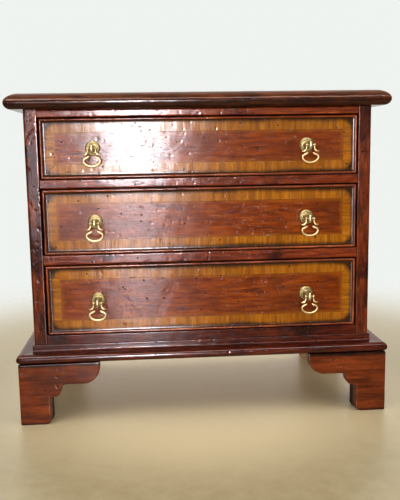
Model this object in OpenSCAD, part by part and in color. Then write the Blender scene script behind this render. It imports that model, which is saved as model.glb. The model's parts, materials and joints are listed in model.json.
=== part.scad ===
// Miniature chest of three graduated drawers: cockbeaded and crossbanded
// drawer fronts, a moulded top, a base moulding, bracket feet and six
// brass drop handles. Millimetres, +Z up, front towards -Y.
// Origin: the middle of the chest's box, at floor level.

/* [Case] */
// Width of the case across its two side boards
case_w = 274; // [240:1:320]
// Depth of the case from its front edges to its back
case_d = 150; // [130:1:200]
// Thickness of the side boards
side_t = 10.5; // [8:0.5:14]
// Thickness of the back panel
back_t = 5; // [3:0.5:8]
// Thickness of the bottom board
bottom_t = 8; // [5:0.5:10]
// Depth of the top rail and the dividers, front to back
rail_d = 32; // [26:1:45]
// Depth of the bottom rail, front to back
bottom_rail_d = 24; // [22:1:45]
// Width of the drawer runners and kickers
runner_w = 12; // [8:1:18]

/* [Front layout] */
// Height of the top rail
top_rail_h = 5.8; // [4:0.1:10]
// Height of the divider under the upper drawer
upper_divider_h = 7.2; // [5:0.1:10]
// Height of the divider under the middle drawer
lower_divider_h = 8; // [5:0.1:10]
// Height of the bottom rail that shows above the base moulding
bottom_rail_h = 7.5; // [5:0.1:12]
// Height of the upper drawer's opening
upper_open_h = 48; // [40:0.5:60]
// Height of the middle drawer's opening
middle_open_h = 52.5; // [40:0.5:65]
// Height of the lower drawer's opening
lower_open_h = 57; // [40:0.5:70]

/* [Top and base] */
// Thickness of the top board
top_t = 12.5; // [10:0.5:18]
// Overhang of the top board at the front and both sides
top_over = 13; // [8:0.5:20]
// Height of the base moulding
base_h = 12.7; // [10:0.1:16]
// Projection of the base moulding from the case
base_out = 13; // [10:0.5:16]

/* [Feet] */
// Height of the feet
foot_h = 50; // [40:1:60]
// Length of a bracket under the moulding
foot_l = 64.5; // [62:0.5:80]
// Width of a bracket's leg at the floor
leg_w = 24.5; // [20:0.5:28]
// Thickness of the bracket boards
foot_t = 10; // [6:0.5:11]
// Width of the plain rear brackets, with the side bracket
rear_foot_w = 37; // [30:1:50]
// Distance from a bracket's face back to the base moulding's nose
foot_inset = 1; // [0.5:0.5:3]

/* [Drawers] */
// Thickness of a drawer front
front_t = 12; // [11:0.5:15]
// Length of a drawer from its face to the ends of its sides
drawer_l = 138; // [100:1:142]
// Thickness of a drawer's sides and back
lining_t = 6; // [4:0.5:8]
// Thickness of a drawer's bottom panel
panel_t = 3; // [2:0.5:4]
// Gap at each end of a drawer front
end_gap = 1.2; // [0.5:0.1:2]
// Gap over a drawer front
top_gap = 0.9; // [0.5:0.1:1.5]
// Gap under a drawer
under_gap = 0.5; // [0.3:0.1:0.8]
// Thickness of the cockbead
bead_t = 2; // [1.5:0.1:2.5]
// Width of the crossbanding
band_w = 8.2; // [6:0.1:10]
// Thickness of the crossbanding
band_t = 0.8; // [0.5:0.1:1]

/* [Handles] */
// Distance of each handle from the middle of the chest
handle_x = 84.5; // [60:0.5:100]
// Radius of the backplate
plate_r = 5.8; // [5:0.1:7]
// Distance of the bail's pivot from the drawer's face
pivot_out = 14; // [10:0.5:16]
// Radius of the threaded shank
shank_r = 1.2; // [1:0.1:1.5]
// Radius of the bail's wire
wire_r = 0.95; // [0.8:0.05:1]

/* [Hidden] */
$fn = 48;
arc_n = 10;              // steps in each curved stretch of a moulding
eps = 0.01;              // how far a cutter runs past a face

head_r = 2;              // the post's head
front_out = pivot_out + head_r;
y_face = -(case_d - front_out) / 2;
y_back = y_face + case_d;
open_w = case_w - 2 * side_t;
back_face = y_back - back_t;

z_case = foot_h;
z_lower = foot_h + base_h + bottom_rail_h;
z_middle = z_lower + lower_open_h + lower_divider_h;
z_upper = z_middle + middle_open_h + upper_divider_h;
z_top_rail = z_upper + upper_open_h;
z_top = z_top_rail + top_rail_h;

// Drawers from the bottom up
DRAWERS = ["lower", "middle", "upper"];
open_z = [z_lower, z_middle, z_upper];
open_h = [lower_open_h, middle_open_h, upper_open_h];

front_w = open_w - 2 * end_gap;
tail_l = 7;              // length of the dovetails
bead_in = 4;             // depth of the cockbead's rebate
bead_r = bead_t / 2;     // round nose of the cockbead
mitre_gap = 0.05;        // open joint at the mitres of beads and bands
groove = 2;              // depth of the grooves that hold the panel
panel_up = 5;            // panel's height above the drawer's edge
back_set = 2;            // drawer's back, in from the side's ends
stop_gap = 0.15;         // closed drawer front to its stops
stop_x = 60;
stop_size = [16, 8, 3];
tenon_l = 4;
tenon_inset = 6;

// Handle, measured outward from the drawer's face
plate_h = 2.2;
neck_r = 1.5;
nut_h = 2.2;
nut_r = 3.4;
shank_past = 1.2;
pin_r = 0.6;
pin_bore_r = 0.65;
head_half_w = 1.8;
drop_r = 1.55;
drop_z = -2.1;
ball_x = 3.15;
ball_r = 1.15;
shoulder = [3.3, -3.2];
horn_tip = [6.2, -5.6];
ring_z = -10;            // middle of the ring, from the pivot
ring_half_w = 6.2;
ring_end_r = 3.2;
ring_drop = 4;
ring_open_a = 80;        // where each end of the ring curls in
arm_a = 52;              // where the arm joins the ring
arm_r = 0.7;
horn_r = 0.4;
swell = 0.12;            // joints of the bail, beyond their rods

red_wood = "#6e2f1c";
edge_wood = "#8a3d20";
gold_wood = "#b4701f";
pale_wood = "#b08a5c";
old_brass = "#b8a06a";

CASE_NODES = [
    "top_board", "left_side", "right_side", "back_panel", "bottom_board",
    "top_rail", "upper_divider", "lower_divider", "bottom_rail",
    "drawer_runners", "kickers", "drawer_stops",
    "base_moulding_front", "base_moulding_left", "base_moulding_right",
    "front_left_foot_face", "front_left_foot_side",
    "front_right_foot_face", "front_right_foot_side",
    "rear_left_foot_side", "rear_right_foot_side",
    "rear_foot_backs", "foot_blocks"
];
DRAWER_PARTS = [
    "front", "left_side", "right_side", "back", "bottom", "cockbeads",
    "crossband", "backplates", "posts", "nuts", "left_bail", "right_bail"
];
function drawer_node(i, part) = str(DRAWERS[i], "_drawer_", part);
NODES = concat(
    CASE_NODES,
    [for (i = [0:2]) for (part = DRAWER_PARTS) drawer_node(i, part)]
);
node = "all";

// ---------------------------------------------------------------- outlines

// Points of an elliptical arc from angle a to angle b
function arc(cx, cy, rx, ry, a, b) = [
    for (k = [0:arc_n])
        let (t = a + (b - a) * k / arc_n) [cx + rx * cos(t), cy + ry * sin(t)]
];

// Edge of the top: x outward from the case, y up from the underside
top_nose_h = 5;
top_profile_back = 30;
function top_profile(over) = concat(
    [[-top_profile_back, 0]],
    arc(over - top_nose_h, top_nose_h, top_nose_h, top_nose_h, -90, 0),
    arc(0, top_nose_h, over, top_t - top_nose_h, 0, 90),
    [[-top_profile_back, top_t]]
);

// Base moulding: a thin upright fascia, a shelf and a round nose
nose_r = 2.95;
shelf_h = 5.9;
fascia_t = 1.3;
fascia_cove = 1.2;
function base_profile() = concat(
    [[0, 0]],
    arc(base_out - nose_r, nose_r, nose_r, nose_r, -90, 90),
    arc(fascia_t + fascia_cove, shelf_h + fascia_cove,
        fascia_cove, fascia_cove, 270, 180),
    [[0.8, base_h], [0, base_h]]
);

// Bracket: x from the outer corner, y up from the floor
lobe_r = 13.5;
nick_h = 22.5;
cove_w = 5.5;
cove_h = 7;
function bracket_profile() = let (
    lobe_x = foot_l - lobe_r,
    lobe_y = foot_h - 4,
    flat_y = lobe_y - lobe_r,
    nick_x = leg_w + 3.5,
    toe_r = 4
) concat(
    [[0, 0]],
    arc(leg_w - toe_r, toe_r, toe_r, toe_r, -90, 0),
    [[leg_w, nick_h], [nick_x, nick_h]],
    arc(nick_x, nick_h + cove_h, cove_w, cove_h, -90, 0),
    arc(nick_x + cove_w + 4, flat_y - 3, 4, 3, 180, 90),
    arc(lobe_x, lobe_y, lobe_r, lobe_r, -90, 0),
    [[foot_l, foot_h], [0, foot_h]]
);

// ------------------------------------------------------------------- case

// A box from its low corner to its high corner
module box(low, high) {
    translate(low) cube(high - low);
}

// Tenons of a rail at both ends, and their mortises
module tenons(z, h, d) {
    for (side = [-1, 1])
        translate([side * open_w / 2, y_face + d / 2, z + h / 2])
            cube([2 * tenon_l, d - 2 * tenon_inset, h / 2], center = true);
}

module rail(z, h, d) {
    color(red_wood) {
        box([-open_w / 2, y_face, z], [open_w / 2, y_face + d, z + h]);
        tenons(z, h, d);
    }
}

module right_board() {
    difference() {
        box([open_w / 2, y_face, z_case], [case_w / 2, y_back, z_top]);
        box([open_w / 2 - eps, back_face, z_case - eps],
            [open_w / 2 + side_t / 2, y_back + eps, z_top + eps]);
        tenons(z_top_rail, top_rail_h, rail_d);
        tenons(z_upper - upper_divider_h, upper_divider_h, rail_d);
        tenons(z_middle - lower_divider_h, lower_divider_h, rail_d);
        tenons(z_case, z_lower - z_case, bottom_rail_d);
    }
}

module right_side() {
    color(red_wood) right_board();
}

module left_side() {
    color(red_wood) mirror([1, 0, 0]) right_board();
}

module back_panel() {
    half = open_w / 2 + side_t / 2;
    color(pale_wood)
        box([-half, back_face, z_case], [half, y_back, z_top]);
}

module bottom_board() {
    color(pale_wood)
        box([-open_w / 2, y_face + bottom_rail_d, z_case],
            [open_w / 2, back_face, z_case + bottom_t]);
}

// Moulded on the front and both ends, square at the back
module top_board() {
    half_w = case_w / 2 + top_over;
    color(red_wood)
        translate([0, 0, z_top])
            intersection() {
                // front edge, drawn in the YZ plane and run along X
                translate([-half_w, y_face, 0])
                    rotate([90, 0, 90])
                        linear_extrude(2 * half_w)
                            union() {
                                mirror([1, 0]) polygon(top_profile(top_over));
                                square([case_d, top_t]);
                            }
                // end edges, drawn in the XZ plane and run along Y
                translate([0, y_back, 0])
                    rotate([90, 0, 0])
                        linear_extrude(case_d + top_over)
                            union() {
                                for (side = [0, 1])
                                    mirror([side, 0])
                                        translate([case_w / 2, 0])
                                            polygon(top_profile(top_over));
                                translate([-case_w / 2, 0])
                                    square([case_w, top_t]);
                            }
            }
}

module drawer_runners() {
    color(pale_wood)
        for (side = [0, 1]) mirror([side, 0, 0]) {
            x0 = open_w / 2 - runner_w;
            x1 = open_w / 2;
            box([x0, y_face + bottom_rail_d, z_case + bottom_t],
                [x1, back_face, z_lower]);
            box([x0, y_face + rail_d, z_middle - lower_divider_h],
                [x1, back_face, z_middle]);
            box([x0, y_face + rail_d, z_upper - upper_divider_h],
                [x1, back_face, z_upper]);
        }
}

module kickers() {
    color(pale_wood)
        for (side = [0, 1]) mirror([side, 0, 0])
            box([open_w / 2 - runner_w, y_face + rail_d, z_top_rail],
                [open_w / 2, back_face, z_top]);
}

module drawer_stops() {
    color(pale_wood)
        for (z = open_z) for (side = [-1, 1])
            translate([side * stop_x - stop_size[0] / 2,
                       y_face + front_t + stop_gap, z])
                cube(stop_size);
}

// ------------------------------------------------- base moulding and feet

// Moulding along the front, as long as the case and both projections
module moulding_front_run() {
    half = case_w / 2 + base_out;
    translate([-half, y_face, z_case])
        rotate([90, 0, 90])
            linear_extrude(2 * half)
                mirror([1, 0]) polygon(base_profile());
}

module moulding_right_run() {
    translate([case_w / 2, y_back, z_case])
        rotate([90, 0, 0])
            linear_extrude(case_d + base_out)
                polygon(base_profile());
}

module base_moulding_front() {
    x0 = case_w / 2;
    x1 = case_w / 2 + base_out;
    color(edge_wood)
        intersection() {
            moulding_front_run();
            translate([0, y_face, z_case - 1])
                linear_extrude(base_h + 2)
                    polygon([[-x0, 0], [x0, 0],
                             [x1, -base_out], [-x1, -base_out]]);
        }
}

module moulding_right() {
    intersection() {
        moulding_right_run();
        translate([case_w / 2, y_face, z_case - 1])
            linear_extrude(base_h + 2)
                polygon([[0, 0], [base_out, -base_out],
                         [base_out, case_d], [0, case_d]]);
    }
}

module base_moulding_right() {
    color(edge_wood) moulding_right();
}

module base_moulding_left() {
    color(edge_wood) mirror([1, 0, 0]) moulding_right();
}

foot_x = case_w / 2 + base_out - foot_inset;
foot_y = y_face - base_out + foot_inset;

// Front bracket of the right foot, mitred at the corner
module right_foot_face() {
    intersection() {
        translate([foot_x, foot_y + foot_t, 0])
            mirror([1, 0, 0]) rotate([90, 0, 0])
                linear_extrude(foot_t) polygon(bracket_profile());
        translate([foot_x, foot_y, -1])
            linear_extrude(foot_h + 2)
                polygon([[0, 0], [-foot_l, 0], [-foot_l, foot_t],
                         [-foot_t, foot_t]]);
    }
}

// Side bracket of the front right foot, mitred at the corner
module right_foot_side() {
    intersection() {
        translate([foot_x - foot_t, foot_y, 0])
            rotate([90, 0, 90])
                linear_extrude(foot_t) polygon(bracket_profile());
        translate([foot_x, foot_y, -1])
            linear_extrude(foot_h + 2)
                polygon([[0, 0], [0, foot_l], [-foot_t, foot_l],
                         [-foot_t, foot_t]]);
    }
}

module right_rear_side() {
    translate([foot_x - foot_t, y_back, 0])
        rotate([90, 0, 90])
            mirror([1, 0]) linear_extrude(foot_t) polygon(bracket_profile());
}

module front_right_foot_face() {
    color(edge_wood) right_foot_face();
}

module front_left_foot_face() {
    color(edge_wood) mirror([1, 0, 0]) right_foot_face();
}

module front_right_foot_side() {
    color(edge_wood) right_foot_side();
}

module front_left_foot_side() {
    color(edge_wood) mirror([1, 0, 0]) right_foot_side();
}

module rear_right_foot_side() {
    color(edge_wood) right_rear_side();
}

module rear_left_foot_side() {
    color(edge_wood) mirror([1, 0, 0]) right_rear_side();
}

module rear_foot_backs() {
    color(pale_wood)
        for (side = [0, 1]) mirror([side, 0, 0])
            box([foot_x - rear_foot_w, y_back - foot_t, 0],
                [foot_x - foot_t, y_back, foot_h]);
}

// Glue blocks in the corners, just clear of the floor
module foot_blocks() {
    block_w = leg_w - foot_t;
    block_d = 9;
    lift = 0.5;
    color(pale_wood)
        for (side = [0, 1]) mirror([side, 0, 0]) {
            box([foot_x - leg_w, foot_y + foot_t, lift],
                [foot_x - foot_t, foot_y + foot_t + block_d, foot_h]);
            box([foot_x - leg_w, y_back - foot_t - block_d, lift],
                [foot_x - foot_t, y_back - foot_t, foot_h]);
        }
}

// ---------------------------------------------------------------- drawers

function front_low(i) = open_z[i] + under_gap;
function front_high(i) = open_z[i] + open_h[i] - top_gap;
function front_mid(i) = (front_low(i) + front_high(i)) / 2;
side_drop = 1;           // drawer side's top edge below the front's

// Outline of the front, inset by d, in the XZ plane at z = 0 of the front
module front_outline(i, d) {
    translate([-front_w / 2 + d, front_low(i) + d])
        square([front_w - 2 * d, front_high(i) - front_low(i) - 2 * d]);
}

// Extrudes an XZ outline from depth y0 to y1 behind the face plane
module from_face(y0, y1) {
    translate([0, y_face + y1, 0])
        rotate([90, 0, 0]) linear_extrude(y1 - y0) children();
}

// A frame's mitred quarter: 0 low, 1 high, 2 left, 3 right
module mitred_quarter(i, d0, d1, quarter) {
    x0 = front_w / 2 - d0;
    x1 = front_w / 2 - d1;
    low0 = front_low(i) + d0;
    low1 = front_low(i) + d1;
    high0 = front_high(i) - d0;
    high1 = front_high(i) - d1;
    g = mitre_gap;
    if (quarter == 0)
        polygon([[-x0 + g, low0], [x0 - g, low0], [x1 - g, low1], [-x1 + g, low1]]);
    if (quarter == 1)
        polygon([[-x0 + g, high0], [-x1 + g, high1], [x1 - g, high1], [x0 - g, high0]]);
    if (quarter == 2)
        polygon([[-x0, low0 + g], [-x1, low1 + g], [-x1, high1 - g], [-x0, high0 - g]]);
    if (quarter == 3)
        polygon([[x0, low0 + g], [x0, high0 - g], [x1, high1 - g], [x1, low1 + g]]);
}

module panel_box(i) {
    half = front_w / 2 - lining_t + groove;
    z = front_low(i) + panel_up;
    box([-half, y_face + front_t - groove, z],
        [half, y_face + drawer_l, z + panel_t]);
}

// Dovetails of both sides, which the front's sockets match
module tails(i) {
    count = 3;
    low = front_low(i);
    pitch = (front_high(i) - side_drop - low) / count;
    tip = 0.36 * pitch;
    root = tip - 1.1;
    for (side = [-1, 1]) for (k = [0:count - 1])
        translate([side * (front_w - lining_t) / 2 - lining_t / 2,
                   y_face + front_t, low + (k + 0.5) * pitch])
            rotate([90, 0, 90])
                linear_extrude(lining_t)
                    polygon([[0, -root], [0, root],
                             [-tail_l, tip], [-tail_l, -tip]]);
}

module drawer_front(i) {
    color(red_wood)
        difference() {
            from_face(0, front_t) front_outline(i, 0);
            // rebates for the cockbead and the crossbanding
            from_face(-1, bead_in) difference() {
                front_outline(i, -1);
                front_outline(i, bead_t);
            }
            from_face(-1, band_t) difference() {
                front_outline(i, bead_t - eps);
                front_outline(i, bead_t + band_w);
            }
            panel_box(i);
            tails(i);
            for (side = [-1, 1])
                translate([side * handle_x, y_face - 1, front_mid(i)])
                    rotate([-90, 0, 0])
                        cylinder(h = front_t + 2, r = shank_r);
        }
}

module drawer_side(i, side) {
    x = side * (front_w / 2 - lining_t / 2);
    color(pale_wood)
        difference() {
            union() {
                box([x - lining_t / 2, y_face + front_t, front_low(i)],
                    [x + lining_t / 2, y_face + drawer_l,
                     front_high(i) - side_drop]);
                intersection() {
                    tails(i);
                    box([x - lining_t, y_face, front_low(i)],
                        [x + lining_t, y_face + front_t + 1, front_high(i)]);
                }
            }
            panel_box(i);
        }
}

module drawer_back(i) {
    half = front_w / 2 - lining_t;
    y1 = y_face + drawer_l - back_set;
    color(pale_wood)
        box([-half, y1 - lining_t, front_low(i) + panel_up + panel_t],
            [half, y1, front_high(i) - 3 * side_drop]);
}

module drawer_bottom(i) {
    color(pale_wood) panel_box(i);
}

// One strip of cockbead with a round nose, along X or Z
module bead_strip(i, quarter) {
    w = front_w;
    low = front_low(i);
    high = front_high(i);
    module section() {
        circle(r = bead_r);
        translate([0, -bead_r]) square([bead_in, bead_t]);
    }
    intersection() {
        from_face(-2 * bead_r, bead_in)
            mitred_quarter(i, 0, bead_t, quarter);
        if (quarter < 2)
            translate([-w / 2, y_face, quarter == 0 ? low + bead_r
                                                    : high - bead_r])
                rotate([90, 0, 90]) linear_extrude(w) section();
        else
            translate([quarter == 2 ? -w / 2 + bead_r : w / 2 - bead_r,
                       y_face, low])
                linear_extrude(high - low) rotate(90) section();
    }
}

module cockbeads(i) {
    color(edge_wood)
        for (quarter = [0:3]) bead_strip(i, quarter);
}

module crossband(i) {
    color(gold_wood)
        for (quarter = [0:3])
            from_face(0, band_t)
                mitred_quarter(i, bead_t, bead_t + band_w, quarter);
}

// --------------------------------------------------------------- handles

// Places children at a handle: local z outward, local y up
module at_handle(i, side) {
    translate([side * handle_x, y_face, front_mid(i)])
        rotate([90, 0, 0]) children();
}

// Round plate: flange, raised ring, dish and boss
module backplate() {
    ring_r = plate_r - 1.3;
    difference() {
        union() {
            cylinder(h = 0.7, r = plate_r);
            translate([0, 0, 0.7])
                rotate_extrude() translate([ring_r, 0]) circle(r = 0.7);
            cylinder(h = 1, r1 = ring_r, r2 = ring_r - 0.5);
            cylinder(h = plate_h, r1 = 3, r2 = 2.2);
        }
        translate([0, 0, -1]) cylinder(h = plate_h + 2, r = shank_r);
        translate([0, 0, -2]) cylinder(h = 2, r = plate_r + 1);
    }
}

module backplates(i) {
    color(old_brass)
        for (side = [-1, 1]) at_handle(i, side) backplate();
}

// Shank, turned neck, and a drop-shaped head with the pivot bore
module post() {
    back = front_t + nut_h + shank_past;
    difference() {
        union() {
            translate([0, 0, -back]) cylinder(h = back + plate_h, r = shank_r);
            translate([0, 0, plate_h]) {
                cylinder(h = 1.5, r1 = 2.1, r2 = neck_r);
                cylinder(h = pivot_out - plate_h, r = neck_r);
            }
            intersection() {
                translate([0, 0, pivot_out]) union() {
                    sphere(r = head_r);
                    translate([0, drop_z, 0]) sphere(r = drop_r);
                    rotate([90, 0, 0])
                        cylinder(h = -drop_z, r1 = head_r, r2 = drop_r);
                }
                cube([2 * head_half_w, 20, 60], center = true);
            }
        }
        translate([-5, 0, pivot_out]) rotate([0, 90, 0])
            cylinder(h = 10, r = pin_bore_r);
    }
}

module posts(i) {
    color(old_brass)
        for (side = [-1, 1]) at_handle(i, side) post();
}

module nuts(i) {
    color(old_brass)
        for (side = [-1, 1]) at_handle(i, side)
            translate([0, 0, -front_t - nut_h]) difference() {
                cylinder(h = nut_h, r = nut_r, $fn = 6);
                translate([0, 0, -1]) cylinder(h = nut_h + 2, r = shank_r);
            }
}

// Straight or tapered rod between two points of the XZ plane
module rod(p, q, r1, r2) {
    d = q - p;
    translate([p[0], 0, p[1]])
        rotate([0, atan2(d[0], d[1]), 0])
            cylinder(h = norm(d), r1 = r1, r2 = r2);
}

// Ring section of radius r round centre c, from angle a to angle b
module ring_arc(c, r, a, b) {
    translate([c[0], 0, c[1]])
        rotate([90, 0, 0]) rotate(a)
            rotate_extrude(angle = b - a)
                translate([r, 0]) circle(r = wire_r);
}

module dot(p, r) {
    translate([p[0], 0, p[1]]) sphere(r = r);
}

// The ring's middle lines: a flat lower arc, tangent to two round ends
ring_end_x = ring_half_w - ring_end_r;
ring_low_r = (ring_drop^2 + ring_end_x^2 - ring_end_r^2)
             / (2 * (ring_drop - ring_end_r));
ring_low_z = ring_z - ring_drop + ring_low_r;
ring_low_a = atan2(ring_z - ring_low_z, ring_end_x);
function ring_end_point(a) =
    [ring_end_x + ring_end_r * cos(a), ring_z + ring_end_r * sin(a)];

// Right side of the bail: pin, ball, arm, horn and the ring's round end.
// Each joint has a small swelling, as a casting has.
module bail_side() {
    rod([0.4, 0], [ball_x, 0], pin_r, pin_r);
    dot([ball_x, 0], ball_r);
    rod([ball_x, 0], shoulder, arm_r + 0.1, arm_r);
    dot(shoulder, arm_r + swell);
    rod(shoulder, ring_end_point(arm_a), arm_r, wire_r - 0.1);
    rod(shoulder, horn_tip, arm_r, horn_r);
    dot(horn_tip, horn_r + swell);
    ring_arc([ring_end_x, ring_z], ring_end_r, ring_low_a, ring_open_a);
    dot(ring_end_point(ring_open_a), wire_r + swell);
    dot(ring_end_point(ring_low_a), wire_r + swell);
}

module bail(i, side) {
    color(old_brass)
        translate([side * handle_x, y_face - pivot_out, front_mid(i)])
            union() {
                bail_side();
                mirror([1, 0, 0]) bail_side();
                ring_arc([0, ring_low_z], ring_low_r,
                         -180 - ring_low_a, ring_low_a);
            }
}

// ------------------------------------------------------------------ nodes

module drawer_part(i, part) {
    if (part == "front") drawer_front(i);
    if (part == "left_side") drawer_side(i, -1);
    if (part == "right_side") drawer_side(i, 1);
    if (part == "back") drawer_back(i);
    if (part == "bottom") drawer_bottom(i);
    if (part == "cockbeads") cockbeads(i);
    if (part == "crossband") crossband(i);
    if (part == "backplates") backplates(i);
    if (part == "posts") posts(i);
    if (part == "nuts") nuts(i);
    if (part == "left_bail") bail(i, -1);
    if (part == "right_bail") bail(i, 1);
}

function shown(name) = node == "all" || node == name;

if (shown("top_board")) top_board();
if (shown("left_side")) left_side();
if (shown("right_side")) right_side();
if (shown("back_panel")) back_panel();
if (shown("bottom_board")) bottom_board();
if (shown("top_rail")) rail(z_top_rail, top_rail_h, rail_d);
if (shown("upper_divider"))
    rail(z_upper - upper_divider_h, upper_divider_h, rail_d);
if (shown("lower_divider"))
    rail(z_middle - lower_divider_h, lower_divider_h, rail_d);
if (shown("bottom_rail")) rail(z_case, z_lower - z_case, bottom_rail_d);
if (shown("drawer_runners")) drawer_runners();
if (shown("kickers")) kickers();
if (shown("drawer_stops")) drawer_stops();
if (shown("base_moulding_front")) base_moulding_front();
if (shown("base_moulding_left")) base_moulding_left();
if (shown("base_moulding_right")) base_moulding_right();
if (shown("front_left_foot_face")) front_left_foot_face();
if (shown("front_left_foot_side")) front_left_foot_side();
if (shown("front_right_foot_face")) front_right_foot_face();
if (shown("front_right_foot_side")) front_right_foot_side();
if (shown("rear_left_foot_side")) rear_left_foot_side();
if (shown("rear_right_foot_side")) rear_right_foot_side();
if (shown("rear_foot_backs")) rear_foot_backs();
if (shown("foot_blocks")) foot_blocks();
for (i = [0:2]) for (part = DRAWER_PARTS)
    if (shown(drawer_node(i, part))) drawer_part(i, part);
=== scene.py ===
"""Looks of the miniature chest of drawers: aged mahogany, golden crossbanding and old brass.

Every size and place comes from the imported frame. Metres, +Z up, the front faces -Y.
"""

import json
import math

import bmesh
import bpy
import numpy as np
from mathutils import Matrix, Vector


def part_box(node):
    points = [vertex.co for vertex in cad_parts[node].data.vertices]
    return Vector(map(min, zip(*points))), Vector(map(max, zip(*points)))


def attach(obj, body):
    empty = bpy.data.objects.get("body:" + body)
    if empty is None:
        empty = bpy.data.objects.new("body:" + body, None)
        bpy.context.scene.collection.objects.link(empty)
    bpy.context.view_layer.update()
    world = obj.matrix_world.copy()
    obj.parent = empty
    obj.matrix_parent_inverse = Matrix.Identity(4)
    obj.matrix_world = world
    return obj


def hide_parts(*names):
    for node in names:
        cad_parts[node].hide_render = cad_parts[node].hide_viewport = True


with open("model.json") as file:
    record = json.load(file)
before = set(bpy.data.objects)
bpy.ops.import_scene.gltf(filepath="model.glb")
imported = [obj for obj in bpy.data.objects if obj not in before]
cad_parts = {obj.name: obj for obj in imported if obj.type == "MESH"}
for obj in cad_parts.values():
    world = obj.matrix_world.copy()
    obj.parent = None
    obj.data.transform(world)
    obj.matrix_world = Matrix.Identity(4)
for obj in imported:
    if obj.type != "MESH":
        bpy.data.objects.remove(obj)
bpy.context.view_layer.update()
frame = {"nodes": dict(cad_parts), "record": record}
nodes = frame["nodes"]

MM = 0.001
DRAWERS = ("lower", "middle", "upper")
SIDES = ("left", "right")
BODY_OF = {n: b for b, members in frame["record"]["behaviour"]["bodies"].items() for n in members}

case_low, case_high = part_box("left_side")[0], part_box("right_side")[1]
FACE_Y = case_low.y          # plane of the case's front edges and the drawers' faces
BACK_Y = case_high.y
CASE_X = case_high.x         # half the width of the case

# Spacing of vertices, fine enough for the dents
FINE = 0.8 * MM              # drawer fronts
EDGE = 0.9 * MM              # rails, stiles and base moulding
SIDE = 1.0 * MM              # along the stiles
BOARD = 1.5 * MM             # top board
PLAIN = 2.2 * MM             # outlines without dents


# ------------------------------------------------------------------ meshes

def new_piece(name, verts, faces, body="case", sharp=40):
    """A mesh object riding on a body, smooth except at edges sharper than so many degrees."""
    mesh = bpy.data.meshes.new(name)
    mesh.from_pydata([tuple(v) for v in verts], [], faces)
    bm = bmesh.new()
    bm.from_mesh(mesh)
    bmesh.ops.remove_doubles(bm, verts=bm.verts, dist=0.002 * MM)
    bmesh.ops.dissolve_degenerate(bm, edges=bm.edges, dist=0.001 * MM)
    bmesh.ops.recalc_face_normals(bm, faces=bm.faces)
    bm.to_mesh(mesh)
    bm.free()
    return finish_piece(name, mesh, body, sharp)


def finish_piece(name, mesh, body, sharp=40):
    """Makes a mesh an object that rides on a body."""
    mesh.shade_smooth()
    mesh.set_sharp_from_angle(angle=math.radians(sharp))
    piece = bpy.data.objects.new(name, mesh)
    bpy.context.scene.collection.objects.link(piece)
    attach(piece, body)
    return piece


def sweep(rings):
    """Vertices and faces of a skin over rings of points, with flat ends."""
    rings = np.asarray(rings, float)
    count, around = rings.shape[:2]
    faces = []
    for i in range(count - 1):
        a, b = i * around, (i + 1) * around
        for k in range(around):
            m = (k + 1) % around
            faces.append((a + k, a + m, b + m, b + k))
    faces.append(tuple(range(around)))
    faces.append(tuple((count - 1) * around + k for k in range(around)))
    return rings.reshape(-1, 3), faces


def grid(columns, rows, base=0):
    """Faces over rows of vertices, the first of which is number base."""
    corners = [base + j * columns + i for j in range(rows - 1) for i in range(columns - 1)]
    return [(a, a + 1, a + 1 + columns, a + columns) for a in corners]


def join(parts):
    """Several (verts, faces) as one."""
    verts, faces, base = [], [], 0
    for part_verts, part_faces in parts:
        verts.extend(part_verts)
        faces.extend(tuple(i + base for i in f) for f in part_faces)
        base += len(part_verts)
    return verts, faces


def arc(cx, cy, rx, ry, start, end, steps):
    """Points of an elliptical arc, angles in degrees."""
    angles = np.radians(np.linspace(start, end, steps + 1))
    return [(cx + rx * math.cos(a), cy + ry * math.sin(a)) for a in angles]


def stations(low, high, step):
    """Evenly spaced places from low to high, about a step apart."""
    return np.linspace(low, high, max(2, round((high - low) / step) + 1))


def spaced(points, step):
    """A closed outline with its long sides divided. step gives the length from p to q."""
    out = []
    for p, q in zip(points, points[1:] + points[:1]):
        n = max(1, round(math.dist(p, q) / step(p, q)))
        out += [(p[0] + (q[0] - p[0]) * i / n, p[1] + (q[1] - p[1]) * i / n) for i in range(n)]
    return out


def coordinates(mesh):
    """The places of a mesh's vertices, as rows."""
    data = np.empty(len(mesh.vertices) * 3, np.float32)
    mesh.vertices.foreach_get("co", data)
    return data.reshape(-1, 3)


def vertex_normals(mesh):
    """The directions that a mesh's vertices face, as rows."""
    data = np.empty(len(mesh.vertices) * 3, np.float32)
    mesh.vertex_normals.foreach_get("vector", data)
    return data.reshape(-1, 3)


def move_to(mesh, co):
    """Gives a mesh's vertices new places."""
    mesh.vertices.foreach_set("co", co.astype(np.float32).ravel())
    mesh.update()


WAVES = ((1, 0.3, 0.7), (-0.4, 1.2, 0.5), (0.6, -0.8, 1.3), (1.7, 0.5, -0.9))


def ripple(co, length):
    """A smooth uneven value from 0 to 1 over points: four waves of about that length."""
    total = np.zeros(len(co))
    for k, wave in enumerate(WAVES):
        total += np.sin(co @ (np.array(wave) * 6.3 / length) + 1.7 * k)
    return 0.5 + total / (2 * len(WAVES))


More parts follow.
